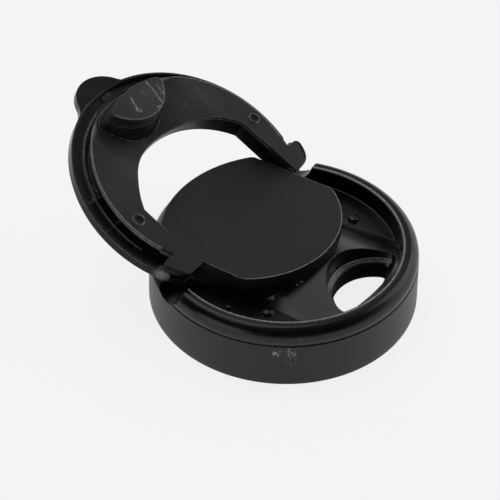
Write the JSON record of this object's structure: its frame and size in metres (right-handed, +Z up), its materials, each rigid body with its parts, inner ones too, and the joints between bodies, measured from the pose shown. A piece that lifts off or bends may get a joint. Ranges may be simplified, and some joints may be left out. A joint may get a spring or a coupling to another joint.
{
  "type": "flip-top pour lid",
  "caption": "Round black jug lid with a raised centre cover, a hinged C-shaped flip ring standing open, and a rubber-faced plug for its pour hole.",
  "frame": {"origin": "Centre of the cap's lower face, on the axis of the jug's neck.", "axes": "+Z is up along the neck axis, -Y is the pour side, X runs along the hinge."},
  "size_m": [0.102, 0.1435, 0.0636],
  "materials": {
    "black_moulding": "semi-gloss moulded",
    "satin_cover": "fine satin",
    "satin_ring": "satin moulded",
    "seal_rubber": "soft, scuffed"
  },
  "bodies": {
    "base": {"lid_body": "black_moulding", "centre_cover": "satin_cover", "neck_gasket": "seal_rubber"},
    "ring": {"ring_cover": "satin_ring", "ring_plate": "satin_ring", "plug_seal": "seal_rubber"}
  },
  "joints": [
    {"name": "ring_hinge", "type": "hinge", "parent": "base", "child": "ring", "pos_m": [0, 0.0217, 0.0251], "axis": [1, 0, 0], "range_deg": [0, 152]}
  ]
}
